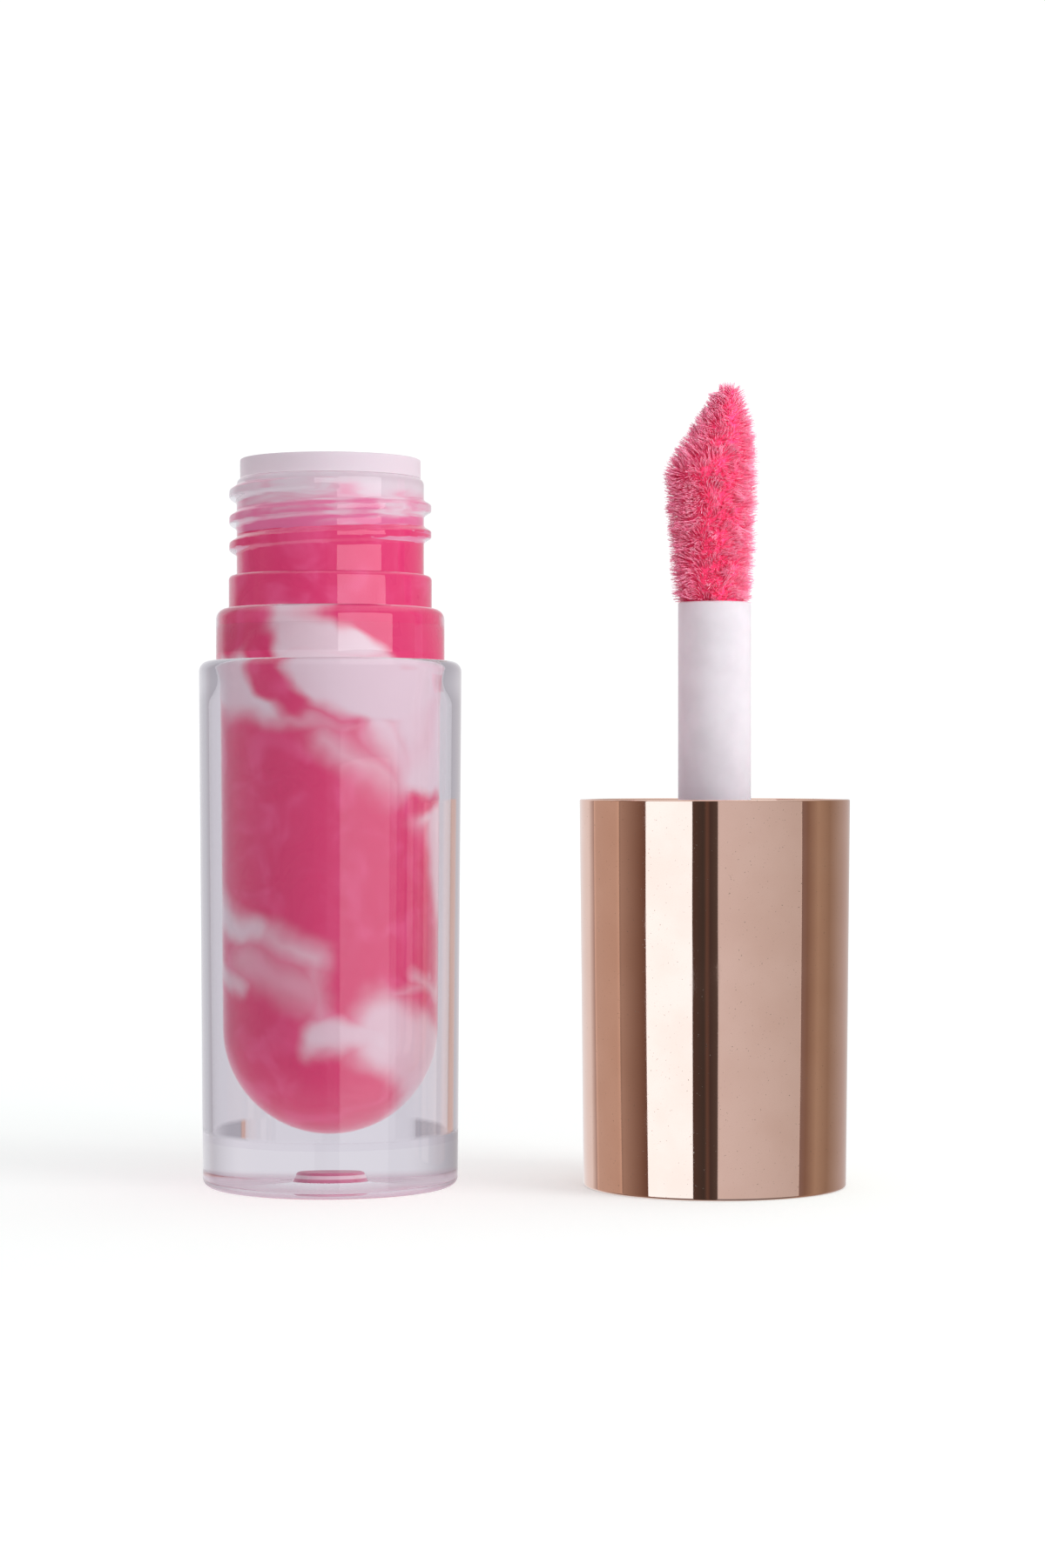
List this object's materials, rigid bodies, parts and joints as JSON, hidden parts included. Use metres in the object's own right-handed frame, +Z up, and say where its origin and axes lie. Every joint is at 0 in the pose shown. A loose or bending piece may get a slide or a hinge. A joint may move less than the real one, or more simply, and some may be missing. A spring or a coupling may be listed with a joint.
{
  "type": "lip gloss tube",
  "caption": "Open lip gloss: clear double-walled bottle of swirled pink gloss with a threaded neck, beside its rose gold cap with stem and flocked tip.",
  "frame": {"origin": "on the ground, at the middle of the footprint of the bottle and the cap beside it", "axes": "+X from the bottle to the cap, +Y to the back, +Z up along both pieces' own axes"},
  "size_m": [0.0496, 0.0206, 0.061],
  "materials": {
    "clear_sleeve": "clear, polished",
    "clear_bottle": "clear, polished",
    "wiper": "soft satin",
    "gloss": "wet, opaque, with pale swirls",
    "rose_gold": "polished rose gold",
    "liner": "satin",
    "washer": "soft",
    "stem": "satin",
    "tip_core": "soft",
    "flock": "short flocked fibres"
  },
  "bodies": {
    "bottle": {"outer_sleeve": "clear_sleeve", "inner_bottle": "clear_bottle", "wiper": "wiper", "gloss_fill": "gloss"},
    "washer": {"cap_washer": "washer"},
    "cap": {"cap_shell": "rose_gold", "inner_cap": "liner", "wand_stem": "stem", "tip_core": "tip_core", "tip_flock": "flock"}
  },
  "joints": [
    {"name": "cap_turn_over", "type": "hinge", "parent": "bottle", "child": "washer", "pos_m": [-0.00015, 0, 0.0592], "axis": [0, -1, 0], "range_deg": [0, 180]},
    {"name": "cap_twist", "type": "hinge", "parent": "washer", "child": "cap", "pos_m": [0.0145, 0, 0.014], "axis": [0, 0, 1], "range_deg": [0, 540]}
  ]
}
